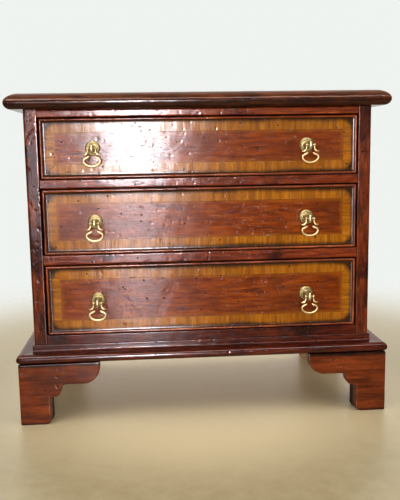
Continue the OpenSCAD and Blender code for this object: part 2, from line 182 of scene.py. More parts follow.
def age(piece, seed, dents, radius=1.0, depth=0.25, wave=0.05, front_only=False):
    """Knocks dents into a piece along its normals and makes its surface a little uneven.

    Sizes in millimetres. front_only keeps the dents on what faces the front. All moves
    go inwards. The dents' depth is kept in the attribute "dent" for the material.
    """
    mesh = piece.data
    co, normals = coordinates(mesh), vertex_normals(mesh)
    rng = np.random.default_rng(seed)
    places = np.flatnonzero(normals[:, 1] < -0.6) if front_only else np.arange(len(co))
    dent = np.zeros(len(co))
    for _ in range(dents):
        centre = co[rng.choice(places)]
        size = radius * MM * rng.uniform(0.55, 1.35)
        stretch = np.array((rng.uniform(0.6, 1.4), 1, rng.uniform(0.6, 1.4)))
        near = (((co - centre) * stretch / size) ** 2).sum(1)
        cut = np.clip(1 - near, 0, 1) ** 1.5 * rng.uniform(0.4, 1)
        dent = np.maximum(dent, cut)
    inward = dent * depth * MM + ripple(co, 23 * MM) * wave * MM
    mark = mesh.attributes.new("dent", "FLOAT", "POINT")
    mark.data.foreach_set("value", dent.astype(np.float32))
    move_to(mesh, co - normals * inward[:, None])


def cast(meshes, voxel, rounds):
    """One skin over several overlapping meshes, smoothed as a casting or a worn block is."""
    whole = bmesh.new()
    for mesh in meshes:
        whole.from_mesh(mesh)
    bmesh.ops.remove_doubles(whole, verts=whole.verts, dist=0.001 * MM)
    raw = bpy.data.meshes.new("raw")
    whole.to_mesh(raw)
    whole.free()
    holder = bpy.data.objects.new("holder", raw)
    bpy.context.scene.collection.objects.link(holder)
    skin = holder.modifiers.new("skin", "REMESH")
    skin.mode, skin.voxel_size = "VOXEL", voxel * MM
    smooth = holder.modifiers.new("smooth", "SMOOTH")
    smooth.factor, smooth.iterations = 0.5, rounds
    graph = bpy.context.evaluated_depsgraph_get()
    mesh = bpy.data.meshes.new_from_object(holder.evaluated_get(graph))
    bpy.data.objects.remove(holder)
    mesh.materials.clear()
    return mesh


def keep_inside(mesh, low, high):
    """Holds every vertex inside a box."""
    move_to(mesh, np.clip(coordinates(mesh), np.array(low), np.array(high)))


# --------------------------------------------------------------- materials

class Look:
    """A node material, with short ways to add nodes and join them.

    Patterns lie in the object's coordinates, which are the frame's, in metres.
    """

    def __init__(self, name, **constants):
        self.material = bpy.data.materials.new(name)
        self.material.use_nodes = True
        self.tree = self.material.node_tree
        self.shader = self.tree.nodes["Principled BSDF"]
        for socket, value in constants.items():
            self.shader.inputs[socket.replace("_", " ")].default_value = value
        self.place = self.add("TexCoord").outputs["Object"]

    def add(self, kind, inputs=None, **settings):
        """A node with values or links for its inputs and settings for its attributes."""
        node = self.tree.nodes.new("ShaderNode" + kind)
        for key, value in settings.items():
            setattr(node, key, value)
        for key, value in (inputs or {}).items():
            self.feed(node.inputs[key], value)
        return node

    def feed(self, socket, value):
        if isinstance(value, bpy.types.NodeSocket):
            self.tree.links.new(value, socket)
        else:
            socket.default_value = value

    def math(self, operation, a, b=0.0):
        return self.add("Math", {0: a, 1: b}, operation=operation).outputs[0]

    def spread(self, value, low, high, out_low=0.0, out_high=1.0):
        """A value taken smoothly from one range to another."""
        node = self.add("MapRange", {"Value": value, "From Min": low, "From Max": high,
                                     "To Min": out_low, "To Max": out_high},
                        interpolation_type="SMOOTHSTEP")
        return node.outputs["Result"]

    def mix(self, factor, a, b):
        """Colour a, or b where the factor is 1."""
        return self.add("Mix", {0: factor, 6: a, 7: b}, data_type="RGBA").outputs[2]

    def ramp(self, factor, stops):
        """A colour ramp. stops are pairs of a place and a colour."""
        node = self.add("ValToRGB", {"Fac": factor})
        elements = node.color_ramp.elements
        stops = list(stops)
        while len(elements) < len(stops):
            elements.new(0.5)
        for element, (place, colour) in zip(elements, stops):
            element.position, element.color = place, colour
        return node.outputs["Color"]

    def stretched(self, along, thin, offset=0.0, tilt=0.0):
        """Coordinates drawn out along one axis, for anything that runs with the grain."""
        scale = [1.0 if axis == along else thin for axis in "xyz"]
        rotation = [0.0, tilt, 0.0] if along in "xz" else [0.0, 0.0, tilt]
        node = self.add("Mapping", {"Vector": self.place, "Scale": scale, "Rotation": rotation,
                                    "Location": (offset, offset * 1.7, offset * 2.3)})
        return node.outputs["Vector"]

    def noise(self, scale, detail=2.0, vector=None, roughness=0.5, distortion=0.0):
        node = self.add("TexNoise", {"Vector": vector or self.place, "Scale": scale,
                                     "Detail": detail, "Roughness": roughness,
                                     "Distortion": distortion})
        return node.outputs["Fac"]

    def bump(self, height, depth, under=None):
        """Relief of that depth in millimetres."""
        inputs = {"Height": height, "Strength": 1.0, "Distance": depth * MM}
        if under is not None:
            inputs["Normal"] = under
        return self.add("Bump", inputs).outputs["Normal"]


def rgb(r, g, b):
    """An sRGB colour of 0 to 255 as the linear colour that nodes use."""
    return tuple((c / 255 / 12.92 if c <= 10 else ((c / 255 + 0.055) / 1.055) ** 2.4)
                 for c in (r, g, b)) + (1.0,)


WAX_AND_SHADE = rgb(22, 14, 12)        # old polish and dirt in the corners, pores and dents, and painted shade on the top's edge and the feet
HOLE = 0.11                  # size of the pinholes, as a distance in their pattern

# Dark, middle and light colour of each wood. RAMP holds their places on the ramp
RAMP = (0.34, 0.5, 0.66)
MAHOGANY = (rgb(62, 26, 10), rgb(102, 47, 19), rgb(134, 67, 30))
TOP = (rgb(46, 21, 11), rgb(84, 43, 21), rgb(114, 63, 33))
RED = (rgb(80, 33, 5), rgb(117, 52, 5), rgb(144, 74, 11))
STILE = (rgb(38, 15, 8), rgb(92, 41, 17), rgb(140, 69, 30))
RAIL = (rgb(72, 28, 12), rgb(108, 47, 20), rgb(142, 69, 30))
# Next: the top rail's palette, lighter than the other rails' as painted light against the shade
# under the top's overhang.
RAIL_PAINTED_LIGHT = (rgb(88, 36, 16), rgb(132, 61, 28), rgb(168, 88, 42))
DEEP = (rgb(42, 12, 6), rgb(74, 26, 11), rgb(104, 44, 19))
GOLD = (rgb(112, 65, 9), rgb(143, 88, 13), rgb(172, 114, 26))
BEAD = (rgb(66, 26, 10), rgb(122, 56, 22), rgb(166, 90, 44))
PINE = (rgb(140, 100, 66), rgb(172, 132, 92), rgb(192, 156, 116))
LINING = (rgb(128, 88, 50), rgb(170, 126, 80), rgb(192, 150, 102))
# Next: the glue blocks' dark colour, painted shade for the shade behind the feet's brackets.
BLOCK_SHADE = (rgb(30, 20, 14), rgb(46, 30, 20), rgb(60, 42, 28))


def inside_frame(look, half_w, half_h, middle_z, corner):
    """Distance inside a rounded rectangle on the front, in metres, as a socket."""
    axes = look.add("SeparateXYZ", {0: look.place}).outputs
    across = look.math("ABSOLUTE", axes["X"])
    up = look.math("ABSOLUTE", look.math("SUBTRACT", axes["Z"], middle_z))
    qx = look.math("SUBTRACT", across, half_w - corner)
    qz = look.math("SUBTRACT", up, half_h - corner)
    far_x = look.math("MAXIMUM", qx, 0.0)
    far_z = look.math("MAXIMUM", qz, 0.0)
    diagonal = look.math("SQRT", look.math("ADD", look.math("MULTIPLY", far_x, far_x),
                                           look.math("MULTIPLY", far_z, far_z)))
    near = look.math("MINIMUM", look.math("MAXIMUM", qx, qz), 0.0)
    outside = look.math("SUBTRACT", look.math("ADD", diagonal, near), corner)
    return look.math("MULTIPLY", outside, -1.0)


def wood(name, grain, stops, offset=0.0, tilt=0.0, figure=48, thin=9, streaks=0.35,
         blotch=0.5, gloss=0.3, coat=0.6, dirt_and_shade=None, tone=None):
    """Lacquered, antiqued wood with grain along an axis.

    stops are the dark, middle and light colours. offset and tilt move and turn the figure,
    figure is its scale across the grain, thin its narrowness, streaks the share of fine
    fibre, blotch the strength of the darker clouds. dirt_and_shade is a function of the look
    that gives a socket, 1 where old wax and dark joints lie, and on the top's edge and the feet
    1 where shade is painted in; tone is the same with a colour to mix in.
    """
    look = Look(name, Coat_Weight=coat, Coat_Roughness=0.14, Coat_IOR=1.5,
                Specular_IOR_Level=0.0)
    # Figure, fibres and pores run along the grain, clouds of darker stain do not
    long = look.stretched(grain, thin, offset, tilt)
    fine = look.stretched(grain, 42, offset * 3, tilt)
    pore = look.stretched(grain, 13, offset * 5, tilt)
    band = look.noise(figure, 3, long, 0.55, 0.4)
    fibre = look.noise(80, 3, fine, 0.6)
    pores = look.spread(look.noise(300, 1, pore), 0.36, 0.30)
    value = look.math("ADD", look.math("MULTIPLY", band, 1 - streaks),
                      look.math("MULTIPLY", fibre, streaks))
    colour = look.ramp(value, zip(RAMP, stops))
    clouds = look.spread(look.noise(34, 4, None, 0.6), 0.42, 0.66)
    colour = look.mix(look.math("MULTIPLY", clouds, blotch), colour, stops[0])
    if tone is not None:
        colour = look.mix(tone[0](look), colour, tone[1])
    colour = look.mix(look.math("MULTIPLY", pores, 0.7), colour, WAX_AND_SHADE)
    # Wax has filled the pinholes and the dents
    cells = look.add("TexVoronoi", {"Vector": look.place, "Scale": 125}).outputs["Distance"]
    specks = look.spread(cells, HOLE, HOLE * 0.5)
    dent = look.add("Attribute", attribute_name="dent").outputs["Fac"]
    old = look.math("MAXIMUM", specks, look.spread(dent, 0.15, 0.9, 0.0, 0.7))
    # Painted shade comes in here too: the top's edge and the feet pass masks of where shade falls,
    # mixed in the dark wax colour.
    if dirt_and_shade is not None:
        old = look.math("MAXIMUM", old, dirt_and_shade(look))
    colour = look.mix(old, colour, WAX_AND_SHADE)
    look.feed(look.shader.inputs["Base Color"], colour)
    rough = look.math("ADD", look.math("MULTIPLY", old, 0.25),
                      look.spread(clouds, 0.0, 1.0, gloss, gloss + 0.12))
    look.feed(look.shader.inputs["Roughness"], rough)
    # Relief of the figure and pores, an uneven polish over it, and the pinholes
    relief = look.bump(look.math("SUBTRACT", band, look.math("MULTIPLY", pores, 0.3)), 0.05)
    relief = look.bump(look.noise(150, 2), 0.035, relief)
    relief = look.bump(look.math("MULTIPLY", specks, -1.0), 0.18, relief)
    look.feed(look.shader.inputs["Normal"], relief)
    look.feed(look.shader.inputs["Coat Normal"], relief)
    return look.material


def raw_wood(name, grain, stops, offset):
    """Unpolished lining wood with its own late-wood lines and a little dust."""
    look = Look(name, Specular_IOR_Level=0.25)
    long = look.stretched(grain, 11, offset, 0.02)
    fine = look.stretched(grain, 48, offset * 2)
    lines = look.noise(20, 3, long, 0.5, 0.8)
    fibre = look.noise(70, 2, fine)
    value = look.math("ADD", look.math("MULTIPLY", lines, 0.65), look.math("MULTIPLY", fibre, 0.35))
    colour = look.ramp(value, zip(RAMP, stops))
    dust = look.spread(look.noise(18, 5, None, 0.65), 0.5, 0.75, 0.0, 0.35)
    colour = look.mix(dust, colour, rgb(96, 66, 40))
    look.feed(look.shader.inputs["Base Color"], colour)
    look.feed(look.shader.inputs["Roughness"], look.spread(fibre, 0.3, 0.7, 0.5, 0.72))
    look.feed(look.shader.inputs["Normal"], look.bump(value, 0.07))
    return look.material


def brass(name, light, dark, tarnish, rough):
    """Old brass: bright where it is rubbed, olive where it has tarnished."""
    look = Look(name, Metallic=1.0)
    patches = look.noise(420, 4, None, 0.65)
    stain = look.spread(patches, 0.62 - tarnish, 0.74 - tarnish * 0.6)
    colour = look.mix(stain, light, dark)
    freckle = look.spread(look.noise(1900, 2), 0.6, 0.75, 0.0, 0.25)
    colour = look.mix(freckle, colour, rgb(104, 84, 44))
    look.feed(look.shader.inputs["Base Color"], colour)
    look.feed(look.shader.inputs["Roughness"], look.spread(stain, 0, 1, rough, rough + 0.14))
    relief = look.bump(look.noise(900, 3), 0.004)
    look.feed(look.shader.inputs["Normal"], relief)
    return look.material


# -------------------------------------------------------------------- case

TOP_LOW, TOP_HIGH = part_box("top_board")
TOP_OVER = TOP_HIGH.x - CASE_X
TOP_T = TOP_HIGH.z - TOP_LOW.z
NOSE = 5 * MM                # radius of the edge's lower round


def top_edge():
    """Edge of the top from its underside to its upper face: outward, up."""
    under = [(0.0, 0.0), (TOP_OVER * 0.35, 0.0)]
    nose = arc(TOP_OVER - NOSE, NOSE, NOSE, NOSE, -90, 0, 14)
    thumb = arc(0.0, NOSE, TOP_OVER, TOP_T - NOSE, 0, 90, 26)
    return under + nose[:-1] + thumb


def corner_reach(angle, power=9.0):
    """How far a softened square reaches in a direction, over half its side."""
    c, s = abs(math.cos(angle)), abs(math.sin(angle))
    return (c ** power + s ** power) ** (-1 / power)


def top_painted_shade(look):
    """Painted shade: the lower half of the edge, which faces down, is darkened."""
    z = look.add("SeparateXYZ", {0: look.place}).outputs["Z"]
    wobble = look.math("MULTIPLY", look.noise(60, 3), 2 * MM)
    return look.spread(look.math("ADD", z, wobble), TOP_LOW.z + NOSE + 3.4 * MM, TOP_LOW.z + NOSE,
                       0.0, 0.6)


def make_top():
    """The board: a grid on top, a moulded edge round three sides, square at the back."""
    xs = stations(-CASE_X, CASE_X, BOARD)
    ys = stations(FACE_Y, BACK_Y, BOARD)
    edge = top_edge()

    def ring(x, y, out_x, out_y):
        return [(x + o * out_x, y + o * out_y, TOP_LOW.z + z) for o, z in edge]

    def corner(x, start):
        angles = np.radians(np.linspace(start, start + 90, 19)[1:-1])
        return [ring(x, FACE_Y, math.cos(a) * corner_reach(a), math.sin(a) * corner_reach(a))
                for a in angles]

    rings = [ring(x, FACE_Y, 0, -1) for x in xs] + corner(CASE_X, -90)
    rings += [ring(CASE_X, y, 1, 0) for y in ys]
    rings += [ring(x, BACK_Y, 0, 0) for x in xs[::-1]]
    rings += [ring(-CASE_X, y, -1, 0) for y in ys[::-1]] + corner(-CASE_X, 180)
    count, around = len(rings), len(edge)
    verts = [p for r in rings for p in r]
    faces = []
    for i in range(count):
        a, b = i * around, (i + 1) % count * around
        faces += [(a + k, a + k + 1, b + k + 1, b + k) for k in range(around - 1)]
    faces.append(tuple(i * around for i in range(count)))
    faces += grid(len(xs), len(ys), len(verts))
    verts += [(x, y, TOP_HIGH.z) for y in ys for x in xs]
    piece = new_piece("top", verts, faces)
    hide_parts("top_board")
    age(piece, 11, 190, 1.5, 0.22, 0.12)
    piece.data.materials.append(wood("mahogany_top", "x", TOP, 0.3, 0.02, blotch=0.6,
                                     # The top's edge gets painted shade on its lower,
                                     # downward-facing half.
                                     dirt_and_shade=top_painted_shade))


def rail_section(low, high, r):
    """A rail's outline, z and y: finely divided near its rounded front edge."""
    back = [(high.z, high.y), (low.z, high.y)]
    outline = back + arc(low.z + r, low.y + r, r, r, 180, 270, 4)
    outline += arc(high.z - r, low.y + r, r, r, 270, 360, 4)
    return back + [p for p in spaced(outline, lambda p, q: EDGE) if p[1] < low.y + 4 * MM]


def front_grime(look):
    """Patches of old wax on the front edges of the case."""
    y = look.add("SeparateXYZ", {0: look.place}).outputs["Y"]
    patches = look.spread(look.noise(36, 4, None, 0.65), 0.52, 0.68, 0.0, 0.75)
    return look.math("MULTIPLY", patches, look.spread(y, FACE_Y + 9 * MM, FACE_Y + 2 * MM))


def make_rail(name, node, material, seed):
    """A rail along X with a worn front edge."""
    low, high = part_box(node)
    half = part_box("right_side")[0].x
    section = rail_section(low, high, 0.8 * MM)
    rings = [[(x, y, z) for z, y in section] for x in stations(-half, half, EDGE)]
    piece = new_piece(name, *sweep(rings))
    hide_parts(node)
    age(piece, seed, 55, 0.9, 0.22, 0.1, front_only=True)
    piece.data.materials.append(material)


def make_side(side, seed):
    """A side board: its front edge is the stile, and it is rebated for the back panel."""
    low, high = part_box(side + "_side")
    sign = 1 if side == "right" else -1
    inner = min(abs(low.x), abs(high.x))
    outer = max(abs(low.x), abs(high.x))
    middle = (inner + outer) / 2
    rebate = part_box("back_panel")[0].y
    r_outer, r_inner = 1.3 * MM, 0.78 * MM
    outline = [(outer, high.y), (middle, high.y), (middle, rebate), (inner, rebate)]
    outline += arc(inner + r_inner, low.y + r_inner, r_inner, r_inner, 180, 270, 4)
    outline += arc(outer - r_outer, low.y + r_outer, r_outer, r_outer, 270, 360, 6)
    front = low.y + 3 * MM
    section = spaced(outline, lambda p, q: EDGE if max(p[1], q[1]) < front else PLAIN)
    rings = [[(sign * x, y, z) for x, y in section] for z in stations(low.z, high.z, SIDE)]
    piece = new_piece(side + "_board", *sweep(rings))
    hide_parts(side + "_side")
    age(piece, seed, 60, 1.2, 0.3, 0.12, front_only=True)
    piece.data.materials.append(
        wood("mahogany_" + side, "z", STILE, 0.1 * seed, 0.015, figure=36, blotch=0.65,
             dirt_and_shade=front_grime))


BASE_LOW, BASE_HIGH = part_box("base_moulding_front")
BASE_OUT = FACE_Y - BASE_LOW.y
BASE_NOSE = 3.7 * MM         # radius of its round nose
SHELF = 2 * BASE_NOSE        # height of the flat above the nose
FASCIA = 1.3 * MM            # how far the upright part stands off the case
COVE = 1.2 * MM
CROWN = 0.8 * MM


def base_outline():
    """Outline of the base moulding: outward, up."""
    height = BASE_HIGH.z - BASE_LOW.z
    nose = arc(BASE_OUT - BASE_NOSE, BASE_NOSE, BASE_NOSE, BASE_NOSE, -90, 90, 16)
    shelf = [(BASE_OUT - BASE_NOSE - k * 1.5 * MM, SHELF) for k in range(1, 5)]
    cove = arc(FASCIA + COVE, SHELF + COVE, COVE, COVE, 270, 180, 6)
    rise = [(FASCIA, SHELF + COVE + k * MM) for k in range(1, 4)]
    crown = arc(FASCIA - CROWN, height - CROWN, CROWN, CROWN, 0, 90, 4)
    return [(0.0, 0.0)] + nose + shelf + cove + rise + crown + [(0.0, height)]


def eased(o, gap):
    """The moulding's reach near a mitre, where years of knocks have rounded the corner."""
    near = max(0.0, 1 - gap / (3 * MM))
    return o - (1 - math.sqrt(1 - near * near)) * 0.9 * MM * min(1.0, o / BASE_OUT)


def make_base():
    """The base moulding in three mitred lengths, each with the grain along it."""
    front_wood = wood("mahogany_base", "x", DEEP, 0.9, 0.01, coat=0.8)
    side_wood = wood("mahogany_base_side", "y", DEEP, 0.5, 0.02)
    outline = base_outline()
    depth = BACK_Y - FACE_Y
    z = BASE_LOW.z
    rings = []
    for s in stations(-CASE_X, CASE_X, EDGE):
        gap = CASE_X - abs(s)
        rings.append([(s / CASE_X * (CASE_X + o), FACE_Y - eased(o, gap), z + h)
                      for o, h in outline])
    front = new_piece("base_front", *sweep(rings))
    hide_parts("base_moulding_front")
    made = [front]
    for side, sign in zip(SIDES, (-1, 1)):
        rings = []
        for t in stations(0.0, 1.0, EDGE / depth):
            rings.append([(sign * (CASE_X + eased(o, t * depth)),
                           FACE_Y - o + t * (depth + o), z + h) for o, h in outline])
        piece = new_piece("base_" + side, *sweep(rings))
        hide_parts("base_moulding_" + side)
        made.append(piece)
    for seed, piece in enumerate(made):
        age(piece, 40 + seed, 55 if piece is front else 30, 1.0, 0.28, 0.08)
        piece.data.materials.append(front_wood if piece is front else side_wood)


def foot_painted_shade(look):
    """Painted shade under the moulding and along the floor."""
    z = look.add("SeparateXYZ", {0: look.place}).outputs["Z"]
    wobble = look.math("MULTIPLY", look.noise(90, 2), 3 * MM)
    top = look.spread(look.math("ADD", z, wobble), BASE_LOW.z - 2.6 * MM, BASE_LOW.z + 0.4 * MM)
    low = look.spread(look.math("SUBTRACT", z, wobble), 1.5 * MM, -1.5 * MM)
    return look.math("MULTIPLY", look.math("MAXIMUM", top, low), 0.85)


def make_feet():
    """Each foot cast as one block over its mitred brackets, with worn edges."""
    # The feet are darkened as painted shade under the base moulding and along the floor.
    finish = wood("mahogany_feet", "x", MAHOGANY, 0.7, 0.03, figure=22, dirt_and_shade=foot_painted_shade)
    groups = {"front_" + s + "_foot": ["front_" + s + "_foot_face", "front_" + s + "_foot_side"]
              for s in SIDES}
    groups.update({"rear_" + s + "_foot": ["rear_" + s + "_foot_side"] for s in SIDES})
    for seed, (name, parts) in enumerate(groups.items()):
        mesh = cast([nodes[n].data for n in parts], 0.75, 3)
        lows, highs = zip(*(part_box(n) for n in parts))
        low = [min(v[i] for v in lows) for i in range(3)]
        high = [max(v[i] for v in highs) for i in range(3)]
        keep_inside(mesh, low, high)
        piece = finish_piece(name, mesh, "case")
        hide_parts(*parts)
        age(piece, 60 + seed, 26, 1.3, 0.3, 0.1)
        piece.data.materials.append(finish)


# ----------------------------------------------------------------- drawers

BAND_W = 9.0 * MM            # crossbanding's width
MITRE = 0.05 * MM            # gap left in the mitres


class Front:
    """Measures of one drawer's front, about the middle of its height."""

    def __init__(self, drawer):
        self.body = drawer + "_drawer"
        low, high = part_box(self.body + "_cockbeads")
        self.half_w = high.x
        self.half_h = (high.z - low.z) / 2
        self.mid = (high.z + low.z) / 2
        self.bead_t = self.half_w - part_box(self.body + "_crossband")[1].x
        self.inset = self.bead_t + BAND_W


def strips(front, outline):
    """Four mitred strips of one section round a drawer's front, the level ones first.

    outline: inset from the drawer's edge, and y.
    """
    level, upright = [], []
    for sign in (-1, 1):
        rings = []
        for s in stations(-1.0, 1.0, FINE / front.half_w):
            rings.append([(s * (front.half_w - d - MITRE), y,
                           front.mid + sign * (front.half_h - d)) for d, y in outline])
        level.append(sweep(rings))
        rings = []
        for s in stations(-1.0, 1.0, FINE / front.half_h):
            rings.append([(sign * (front.half_w - d), y,
                           front.mid + s * (front.half_h - d - MITRE)) for d, y in outline])
        upright.append(sweep(rings))
    return join(level + upright)


def dress_upright(front, piece):
    """Gives the upright strips the piece's second material."""
    for face in piece.data.polygons:
        c = face.center
        if front.half_w - abs(c.x) < front.half_h - abs(c.z - front.mid):
            face.material_index = 1


def drawer_grime(front):
    """Old wax in the angle inside the cockbead, wider in the corners."""
    width, fade = 6.4 * MM, 4.2 * MM

    def socket(look):
        inside = inside_frame(look, front.half_w, front.half_h, front.mid, 13 * MM)
        wobble = look.math("MULTIPLY", look.math("SUBTRACT", look.noise(26, 3), 0.5), 5.5 * MM)
        inside = look.math("ADD", inside, wobble)
        return look.spread(inside, width, width - fade, 0.0, 0.88)
    return socket


def field_grime(front):
    """A thin dark line where the field meets the crossbanding."""
    def socket(look):
        edge = inside_frame(look, front.half_w - front.inset, front.half_h - front.inset,
                            front.mid, 0.4 * MM)
        return look.spread(edge, 0.5 * MM, 0.1 * MM, 0.0, 0.3)
    return socket


def field_rim(front):
    """The polish shades from the field's colour to the crossbanding's near its edge."""
    def socket(look):
        edge = inside_frame(look, front.half_w - front.inset, front.half_h - front.inset,
                            front.mid, 2 * MM)
        wobble = look.math("MULTIPLY", look.math("SUBTRACT", look.noise(40, 3), 0.5), 5 * MM)
        return look.spread(look.math("ADD", edge, wobble), 3.4 * MM, -1.0 * MM, 0.0, 0.6)
    return socket


def make_core(front, seed):
    """The drawer's front itself, cut back so that the veneers lie on it."""
    name = front.body
    mesh = nodes[name + "_front"].data.copy()
    co = coordinates(mesh)
    co[co[:, 1] < FACE_Y + 0.02 * MM, 1] = FACE_Y + 0.45 * MM
    move_to(mesh, co)
    bm = bmesh.new()
    bm.from_mesh(mesh)
    bmesh.ops.remove_doubles(bm, verts=bm.verts, dist=0.002 * MM)
    bm.to_mesh(mesh)
    bm.free()
    mesh.materials.clear()
    core = finish_piece(name + "_core", mesh, front.body, 30)
    core.data.materials.append(
        wood(name + "_core_wood", "x", RED, 0.2 * seed, 0.01, coat=0.2, gloss=0.45))
    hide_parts(name + "_front")


def make_field(front, seed):
    """The middle of the front: one flat leaf of veneer with its edges let in."""
    half_w, half_h = front.half_w - front.inset, front.half_h - front.inset
    xs, zs = stations(-half_w, half_w, FINE), stations(-half_h, half_h, FINE)
    verts = [(x, FACE_Y, front.mid + z) for z in zs for x in xs]
    n = len(xs)
    faces = grid(n, len(zs))
    rim = list(range(n)) + [j * n + n - 1 for j in range(1, len(zs))]
    rim += [(len(zs) - 1) * n + i for i in range(n - 2, -1, -1)]
    rim += [j * n for j in range(len(zs) - 2, 0, -1)]
    base = len(verts)
    verts += [(verts[i][0], FACE_Y + 0.6 * MM, verts[i][2]) for i in rim]
    faces += [(rim[k], rim[(k + 1) % len(rim)], base + (k + 1) % len(rim), base + k)
              for k in range(len(rim))]
    faces.append(tuple(base + k for k in range(len(rim))))
    field = new_piece(front.body + "_field", verts, faces, front.body, 60)
    age(field, 100 + seed, 44, 0.85, 0.15, 0.06, front_only=True)
    field.data.materials.append(
        wood(front.body + "_veneer", "x", RED, 0.37 * seed, -0.02, figure=52, thin=8,
             blotch=0.55, dirt_and_shade=field_grime(front), tone=(field_rim(front), GOLD[1])))


def make_band(front, seed):
    """Crossbanding: its grain runs square to the drawer's edge."""
    name = front.body
    outer, inner = front.bead_t, front.inset
    under = FACE_Y + 0.8 * MM
    section = [(inner, under), (outer, under)]
    for d in stations(outer, inner, 0.75 * MM):
        pooled = 0.35 * MM * max(0.0, 1 - (d - outer) / (1.6 * MM)) ** 2
        section.append((d, FACE_Y - pooled + (0.02 * MM if d == inner else 0.0)))
    band = new_piece(name + "_band", *strips(front, section), front.body, 60)
    for part, grain, offset in (("level", "z", 0.5), ("upright", "x", 0.6)):
        band.data.materials.append(
            wood(name + "_band_" + part, grain, GOLD, offset * seed, figure=34, thin=12,
                 streaks=0.4, blotch=0.3, dirt_and_shade=drawer_grime(front)))
    dress_upright(front, band)
    age(band, 130 + seed, 40, 0.85, 0.2, 0.08, front_only=True)
    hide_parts(name + "_crossband")


def make_beads(front, seed):
    """Cockbeads: a half round on a strip let into the drawer's edge."""
    name = front.body
    r = front.bead_t / 2
    section = [(2 * r, FACE_Y + 4 * MM), (0.0, FACE_Y + 4 * MM)]
    section += [(0.0, FACE_Y + k * MM) for k in (2.6, 1.2)]
    section += [(r - r * math.cos(a), FACE_Y - r * math.sin(a))
                for a in np.radians(np.linspace(0, 180, 11))]
    section += [(2 * r, FACE_Y + k * MM) for k in (1.2, 2.6)]
    beads = new_piece(name + "_beads", *strips(front, section), front.body, 50)
    age(beads, 160 + seed, 130, 0.8, 0.28, 0.18)
    for part, grain, offset in (("level", "x", 0.8), ("upright", "z", 0.9)):
        beads.data.materials.append(
            wood(name + "_bead_" + part, grain, BEAD, offset * seed, figure=30, blotch=0.45,
                 coat=1.0))
    dress_upright(front, beads)
    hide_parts(name + "_cockbeads")


# ----------------------------------------------------------------- handles

def once_round(count):
    """Angles once round, in radians."""
    return np.linspace(0, 2 * math.pi, count, endpoint=False)


def lathe(profile, centre, around):
    """A turned shape about an axis along Y: profile holds radius and distance outward."""
    return sweep([[(centre.x + r * math.cos(a), centre.y - out, centre.z + r * math.sin(a))
                   for a in once_round(around)] for r, out in profile])


def solid(verts, faces):
    """A bare mesh, to be cast together with others."""
    mesh = bpy.data.meshes.new("part")
    mesh.from_pydata([tuple(v) for v in verts], [], faces)
    return mesh


def tube(path, radii, around=18):
    """A round bar along a path in the XZ plane, given as points and radii, as a mesh."""
    path = np.asarray(path, float)
    rings = []
    for k, (p, r) in enumerate(zip(path, radii)):
        ahead = path[min(k + 1, len(path) - 1)] - path[max(k - 1, 0)]
        ahead /= np.linalg.norm(ahead)
        side = np.array((ahead[2], 0.0, -ahead[0]))
        rings.append([p + r * (side * math.cos(a) + np.array((0, 1, 0)) * math.sin(a))
                      for a in once_round(around)])
    return solid(*sweep(rings))


def ovoid(centre, radii, steps=20):
    """An egg-shaped mesh."""
    rings = [[(centre[0] + radii[0] * math.cos(t) * math.cos(a),
               centre[1] + radii[1] * math.cos(t) * math.sin(a),
               centre[2] + radii[2] * math.sin(t)) for a in once_round(steps)]
             for t in np.radians(np.linspace(-89, 89, steps))]
    return solid(*sweep(rings))


def plate_profile(radius, height):
    """Backplate from its rim inwards: flange, ring, dish and boss."""
    flange = [(radius - 0.25 * MM, 0.0), (radius, 0.2 * MM), (radius, 0.45 * MM),
              (radius - 0.2 * MM, 0.68 * MM), (radius - 0.55 * MM, 0.75 * MM)]
    ring = arc(radius - 1.3 * MM, 0.7 * MM, 0.7 * MM, 0.72 * MM, 8, 172, 12)
    dish = [(radius - 2.15 * MM, 0.72 * MM), (radius - 2.5 * MM, 0.78 * MM)]
    boss = arc(1.6 * MM, 0.8 * MM, 1.5 * MM, height - 0.8 * MM, 0, 90, 8)
    return flange + ring + dish + boss


def smooth_path(points, steps=8):
    """A curve through points (Catmull-Rom), each point any number of values."""
    points = np.asarray(points, float)
    full = np.vstack([2 * points[0] - points[1], points, 2 * points[-1] - points[-2]])
    out = []
    for i in range(1, len(full) - 2):
        a, b, c, d = full[i - 1:i + 3]
        for t in np.linspace(0, 1, steps, endpoint=False):
            out.append(0.5 * (2 * b + (c - a) * t + (2 * a - 5 * b + 4 * c - d) * t * t
                              + (3 * b - a - 3 * c + d) * t ** 3))
    out.append(points[-1])
    return np.array(out)


POST_R = 2 * MM              # from the post's foremost point back to the pivot

# Right half of the bail, in millimetres from the pivot: x, z, radius
ARM_X = 3.15
ARM = ((ARM_X, 0.2, 0.8), (ARM_X, -1.6, 0.7), (3.3, -2.9, 0.72), (3.9, -4.1, 0.85),
       (4.9, -4.75, 0.85), (5.9, -4.9, 0.62), (6.9, -4.7, 0.3))
RING_X, RING_WIDE_Z = 6.25, -9.2         # half width of the ring, and its widest height
RING_UP, RING_DOWN = 2.6, 4.4            # ring above and below its widest height
RING_END = ((2.3, -6.4, 0.6), (3.1, -6.6, 0.75))
BALL_R, TIP_R = 1.2, 0.66                # balls on the arms, rounded ends of the ring
PIN_R, PIN_X = 0.6, 1.7                  # pin, and its inner end in the post's head


